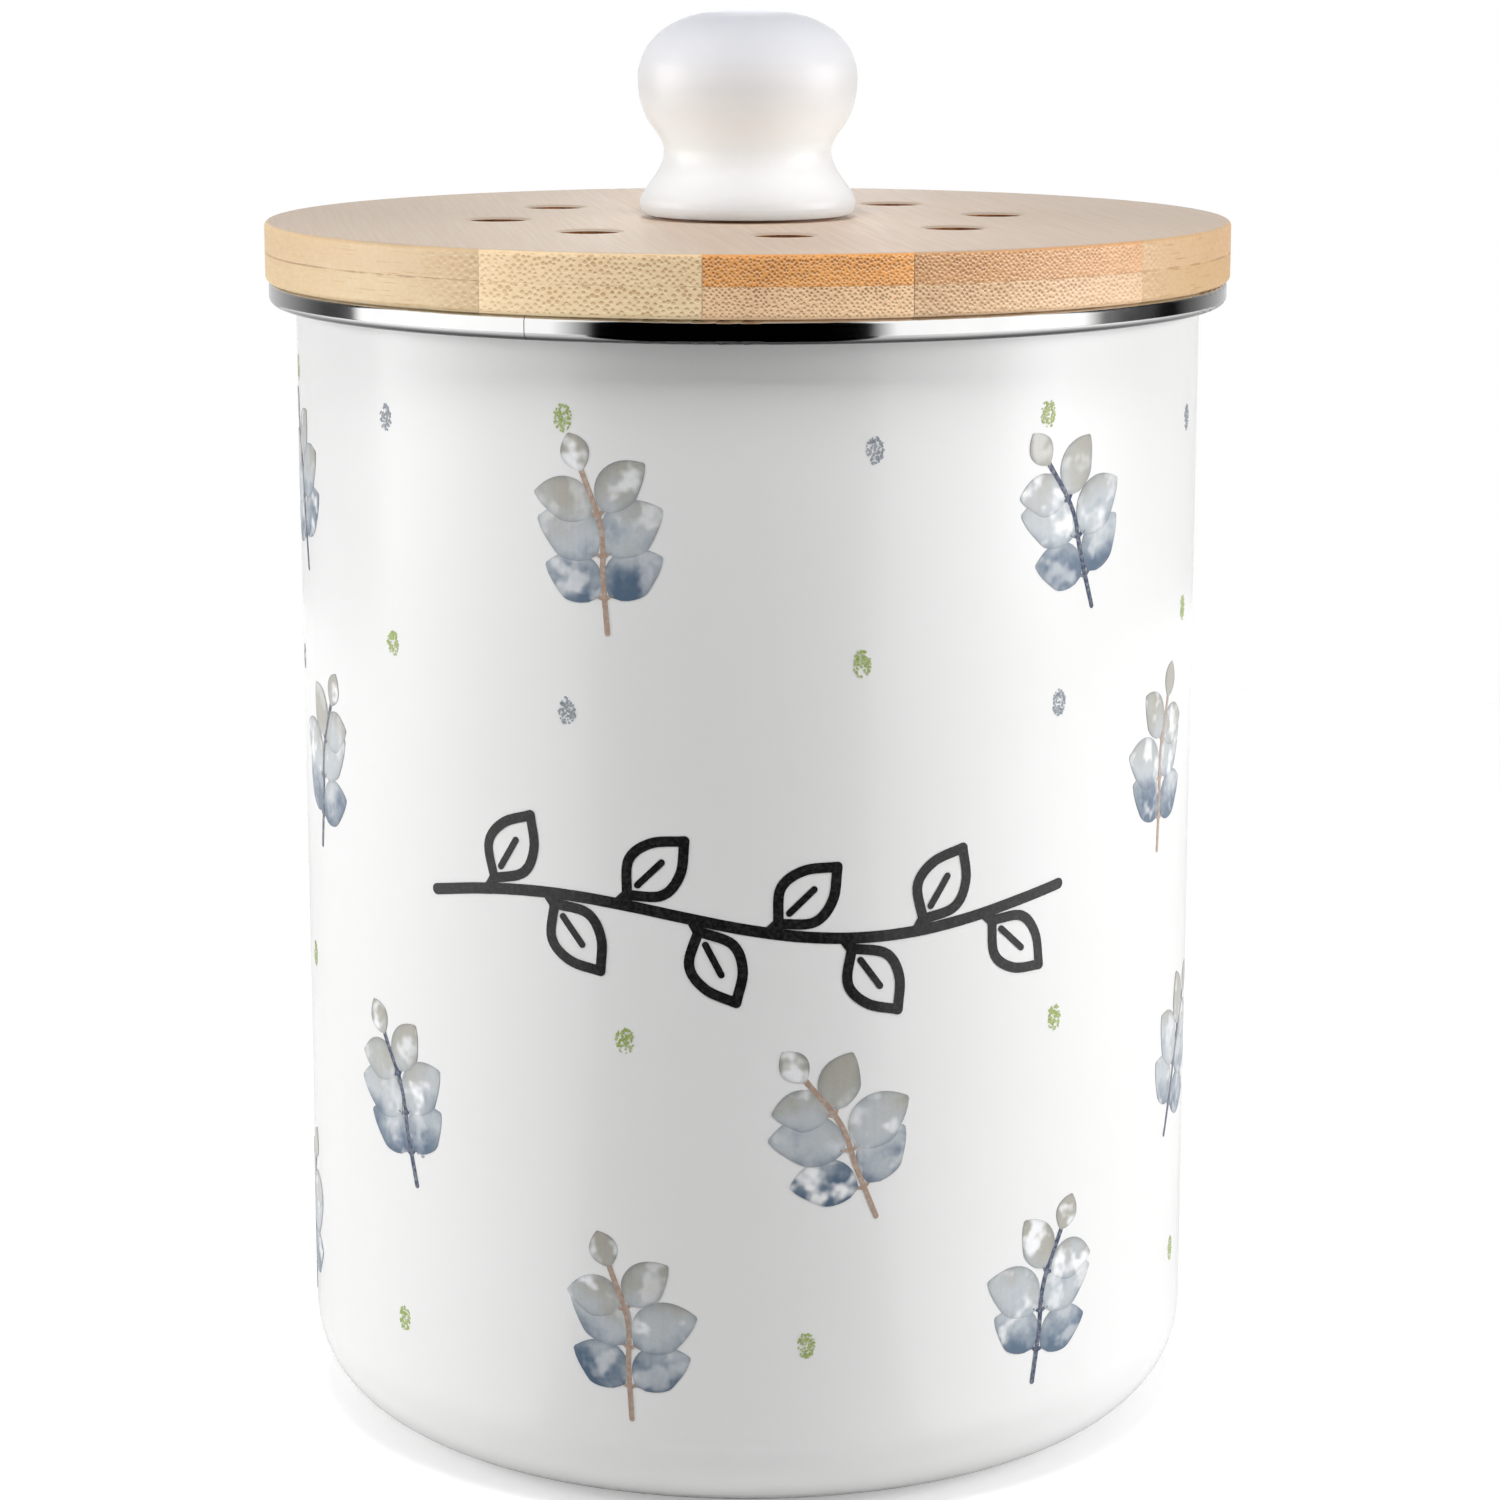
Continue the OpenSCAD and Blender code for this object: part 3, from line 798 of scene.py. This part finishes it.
def leafy_twig(index, arc, height, draw):
    """A round-leaved twig: a curved stem with three pairs of round leaves, and one at its tip."""
    flip = draw.choice((-1, 1))
    place = place_in(Vector((arc, height)), math.radians(draw.uniform(-14, 14)), flip)
    motif = Print()

    def rise(z):
        return (z - height) / TWIG_SIZE + 0.5

    stem = [place(-6, -13.5), place(-3.5, -5), place(-1.5, 3), place(3.5, 11)]
    curve = bend(stem, 30)
    pairs = ((6, 4.7), (14, 5.2), (22, 4.2))  # step of the curve, and about half the width of the leaves
    for step, size in pairs:
        base = curve[step]
        ahead = (curve[step + 1] - curve[step - 1]).normalized()
        for side in (-1, 1):
            aim = Matrix.Rotation(side * math.radians(draw.uniform(48, 66)), 2) @ ahead
            long_way = size * draw.uniform(2.2, 2.5)
            root = base + aim * 1.1
            lean = Vector((-aim.y, aim.x)) * (side * -0.08 * long_way)
            spine = bend([root, root + aim * (0.5 * long_way) + lean, root + aim * long_way], 14)
            bulge = [max(math.sin(math.pi * (k / 14) ** 0.85), 0.02) ** 0.72 for k in range(15)]
            half = [size * 0.86 * part for part in bulge]
            motif.line([base, root + aim * 0.6], 0.3, count=3, slot_index=1)
            motif.ribbon(spine, half, cells=6, tint=draw.random(), rise=rise)
    tip_aim = (curve[-1] - curve[-2]).normalized()
    spine = bend([curve[-1], curve[-1] + tip_aim * 3.2, curve[-1] + tip_aim * 6.4], 12)
    half = [2.5 * max(math.sin(math.pi * k / 12), 0.02) ** 0.75 for k in range(13)]
    motif.line(stem, 0.45, count=30, slot_index=1)
    motif.ribbon(spine, half, cells=6, tint=draw.random(), rise=rise)
    stem_ink = navy_ink if index % 3 else tan_ink
    return motif.finish(f"print_twig_{index:02d}", leaf_ink, stem_ink)


def drawn_sprig():
    """A line-drawn leafy sprig across the front: a long waved stem and open leaves on both sides."""
    motif = Print()
    half = 0.95                # half the width of the line, in mm as all sizes here
    middle, length = 104, 112  # height of the stem's middle, and the stem's length
    reach, swell = 15.5, 4.3   # length and half width of a leaf

    def stem_at(t):
        return Vector((length * (t - 0.5), middle + 3.2 * math.sin(2.1 * math.pi * t + 0.3)))

    motif.line([stem_at(k / 12) for k in range(13)], half, count=70)
    leaves = ((0.1, 1), (0.2, -1), (0.31, 1), (0.42, -1), (0.53, 1), (0.64, -1), (0.75, 1), (0.86, -1))
    for t, side in leaves:
        root = stem_at(t)
        ahead = (stem_at(t + 0.01) - root).normalized()
        aim = Matrix.Rotation(side * math.radians(52), 2) @ ahead
        out = Vector((-aim.y, aim.x))
        neck = root + aim * 2.2
        tip = root + aim * reach
        motif.line([root, neck], half, count=3)
        for bow in (-1, 1):
            edge = [neck, neck + aim * (0.28 * reach) + out * (bow * swell * 0.92),
                    neck + aim * (0.58 * reach) + out * (bow * swell * 0.8), tip]
            motif.line(edge, half * 0.9, count=20)
        motif.line([neck + aim * 2.5, neck + aim * (0.52 * reach)], half * 0.6, count=5)
    return motif.finish("print_sprig", black_ink)


DOT_SPECKS = 95
DOT_HALF_WIDTH, DOT_HALF_HEIGHT = 1.5, 2.2  # in mm


def speckled_dot(motif, arc, height, draw):
    """An oval of many small specks, as a stippled dab of paint prints."""
    for _ in range(DOT_SPECKS):
        turn = draw.uniform(0, 2 * math.pi)
        out = math.sqrt(draw.random())
        at = Vector((arc + DOT_HALF_WIDTH * out * math.cos(turn),
                     height + DOT_HALF_HEIGHT * out * math.sin(turn)))
        motif.speck(at, draw.uniform(0.12, 0.26))


def arc_of(degrees):
    """The arc in mm from the front's middle that spans so many degrees."""
    return math.radians(degrees) * can_radius / MM


def print_can():
    """Four rows of twigs and scattered dots all round the can. The sprig takes its own place in front."""
    draw = random.Random(7)
    turns = [60 * k for k in range(6)]
    # Each twig's turn in degrees from the front's middle, and its height in mm.
    twigs = [(turn - 18, 166) for turn in turns]
    twigs += [(66 + 45.6 * k, 121) for k in range(6)]
    twigs += [(turn + 12, 67) for turn in turns]
    twigs += [(turn - 18, 33) for turn in turns]
    for index, (turn, height) in enumerate(twigs):
        leafy_twig(index, arc_of(turn + draw.uniform(-2, 2)), height + draw.uniform(-1.5, 1.5), draw)
    drawn_sprig()
    green, grey = Print(), Print()
    # The dots of each sixth of the can: ink, turn from its middle in degrees, and height in mm.
    dots = ((green, 11, 147), (green, -17, 83), (green, 10, 30), (grey, 40, 138), (grey, -46, 60),
            (green, 38, 187), (grey, 13, 182))
    for turn in turns:
        for motif, offset, height in dots:
            arc = arc_of(turn + offset + draw.uniform(-3, 3))
            speckled_dot(motif, arc, height + draw.uniform(-3, 3), draw)
    green.finish("print_green_dots", green_ink)
    grey.finish("print_grey_dots", grey_ink)


print_can()


# ---------------------------------------------------------------- studio

CAMERA_BACK = 0.716     # from the can's axis
CAMERA_HEIGHT = 0.2605
CAMERA_SIDE = 0.0004
CAMERA_DOWN = 0.1987    # radians below level
CAMERA_LENS = 97.7      # mm, for the sensor's width
CAMERA_SENSOR = 36


def camera():
    data = bpy.data.cameras.new("camera")
    data.lens = CAMERA_LENS
    data.sensor_width = CAMERA_SENSOR
    data.clip_start = 0.01
    eye = bpy.data.objects.new("camera", data)
    eye.location = (CAMERA_SIDE, -CAMERA_BACK, CAMERA_HEIGHT)
    eye.rotation_euler = (math.pi / 2 - CAMERA_DOWN, 0, 0)
    bpy.context.scene.collection.objects.link(eye)
    bpy.context.scene.camera = eye


def lamp(name, at, aim, width, height, power):
    """A white area lamp that the camera doesn't see."""
    data = bpy.data.lights.new(name, "AREA")
    data.shape = "RECTANGLE"
    data.size = width
    data.size_y = height
    data.energy = power
    light = bpy.data.objects.new(name, data)
    light.location = at
    light.rotation_euler = (Vector(aim) - Vector(at)).to_track_quat("-Z", "Y").to_euler()
    light.visible_camera = False
    bpy.context.scene.collection.objects.link(light)
    return light


def on_circle(azimuth, distance, height):
    """A point round the can; azimuth 0 is the camera's side, and it grows towards +X."""
    a = math.radians(azimuth)
    return (distance * math.sin(a), -distance * math.cos(a), height)


def lights():
    """Two side boxes and a back box light the object, with a fill high in front that nothing mirrors, and
    a low fill that only reaches the knob."""
    middle = (0, 0, 0.12)
    rim = (0, -can_radius, shell_top)
    lamp("box_left", on_circle(-90, 1.0, 0.3), middle, 0.7, 0.5, 8.4)
    lamp("box_right", on_circle(84, 1.0, 0.3), middle, 0.7, 0.5, 8.9)
    lamp("box_back", on_circle(180, 1.1, 0.5), middle, 1.2, 0.7, 3.3)
    fill = lamp("fill_high", on_circle(0, 0.393, 0.93), rim, 0.3, 0.3, 4.8)
    fill.visible_glossy = False
    knob_fill = lamp("fill_knob", on_circle(0, 1.0, 0.35), rim, 0.5, 0.5, 3.0)
    knob_fill.visible_glossy = False
    reached = bpy.data.collections.new("fill_knob_reaches")
    reached.objects.link(nodes["knob"])
    knob_fill.light_linking.receiver_collection = reached


CARD_AWAY = 0.9
CARD_TOP = 1.3
CARD_FOOT = 0.001
CARD_STEP = 5  # degrees that one facet of a card spans at most


def card(name, stops, edges):
    """A curved card round the object, which only reflections see: what the polished ring mirrors.
    stops are (azimuth in degrees, brightness); edges are the (radius, height) of its two long edges."""
    strip = bmesh.new()
    glow = strip.verts.layers.float.new("glow")
    columns = []
    for (start, dim), (end, bright) in zip(stops, stops[1:]):
        count = max(1, math.ceil((end - start) / CARD_STEP))
        for k in range(count + (end == stops[-1][0])):
            part = k / count
            azimuth = start + (end - start) * part
            columns.append([strip.verts.new(on_circle(azimuth, away, z)) for away, z in edges])
            for vert in columns[-1]:
                vert[glow] = dim + (bright - dim) * part
    for a, b in zip(columns, columns[1:]):
        strip.faces.new([a[0], b[0], b[1], a[1]])
    mesh = bpy.data.meshes.new(name)
    strip.to_mesh(mesh)
    strip.free()
    s = Shader(name)
    light = s.add("ShaderNodeEmission", {"Color": WHITE, "Strength": s.attribute("glow")})
    s.tree.links.new(light.outputs[0], s.tree.nodes["Material Output"].inputs["Surface"])
    mesh.materials.append(s.material)
    screen = bpy.data.objects.new(name, mesh)
    for ray in ("camera", "diffuse", "transmission", "volume_scatter", "shadow"):
        setattr(screen, f"visible_{ray}", False)
    bpy.context.scene.collection.objects.link(screen)


def cards():
    """Black in front, white at the sides, black again and then greys towards the back."""
    left = ((-176, 0.8), (-161, 0.7), (-145, 0.5), (-129, 0.27), (-121, 0.13), (-113, 0.01), (-102, 0.01),
            (-99, 1.33), (-44, 1.33), (-34, 0))
    right = ((27, 0), (33, 1.33), (81, 1.33), (88, 0.08), (95, 0), (116, 0), (129, 0.19), (145, 0.46),
             (161, 0.7), (176, 0.8))
    card("card_round", left + right, ((CARD_AWAY, CARD_TOP), (CARD_AWAY, CARD_FOOT)))
    card("card_floor", ((-36, 0), (29, 0)), ((CARD_AWAY, CARD_FOOT), (0.1, CARD_FOOT)))


FLOOR_RADIUS = 3.0
FLOOR_DROP = 0.0002        # below the can's foot, so that the two don't share a plane
FLOOR_GLOW = 0.35          # added to what the camera sees, to keep the shadow as pale as the photo's
FLOOR_FADE = (0.35, 0.9)   # the floor is whole inside the first radius and gone outside the second


def floor():
    """A white sweep: it takes the shadow near the object and fades into the white background."""
    bpy.ops.mesh.primitive_circle_add(vertices=96, radius=FLOOR_RADIUS, fill_type="NGON",
                                      location=(0, 0, -FLOOR_DROP))
    plane = bpy.context.object
    plane.name = "floor"
    s = Shader("floor")
    s.set(Base_Color=(0.8, 0.8, 0.8, 1.0), Roughness=0.8)
    path = s.add("ShaderNodeLightPath")
    out = s.tree.nodes["Material Output"]
    glow = s.add("ShaderNodeEmission", {"Color": WHITE})
    s.feed(glow.inputs["Strength"], s.times(path.outputs["Is Camera Ray"], FLOOR_GLOW))
    lit = s.add("ShaderNodeAddShader", {0: s.surface.outputs[0], 1: glow.outputs[0]})
    at = s.add("ShaderNodeTexCoord").outputs["Object"]
    away = s.add("ShaderNodeVectorMath", {0: at}, operation="LENGTH").outputs["Value"]
    clear = s.add("ShaderNodeBsdfTransparent")
    seen = s.larger(path.outputs["Is Camera Ray"], path.outputs["Is Glossy Ray"])
    seen = s.larger(seen, path.outputs["Is Transmission Ray"])
    fade = s.times(s.fit(away, *FLOOR_FADE), seen)
    blend = s.add("ShaderNodeMixShader", {0: fade, 1: lit.outputs[0], 2: clear.outputs[0]})
    s.tree.links.new(blend.outputs[0], out.inputs["Surface"])
    plane.data.materials.append(s.material)


WORLD_FILL = 0.12  # brightness of the world as far as it lights matte surfaces


def world():
    """White behind the object and in its reflections, and a faint even fill on everything else."""
    sky = bpy.data.worlds.new("studio")
    sky.use_nodes = True
    bpy.context.scene.world = sky
    tree = sky.node_tree
    path = tree.nodes.new("ShaderNodeLightPath")
    diffuse = tree.nodes.new("ShaderNodeMapRange")
    diffuse.inputs["To Min"].default_value = 1.0
    diffuse.inputs["To Max"].default_value = WORLD_FILL
    tree.links.new(path.outputs["Is Diffuse Ray"], diffuse.inputs["Value"])
    background = tree.nodes["Background"]
    background.inputs["Color"].default_value = WHITE
    tree.links.new(diffuse.outputs[0], background.inputs["Strength"])


camera()
lights()
cards()
floor()
world()
bpy.context.scene.view_settings.view_transform = "Standard"
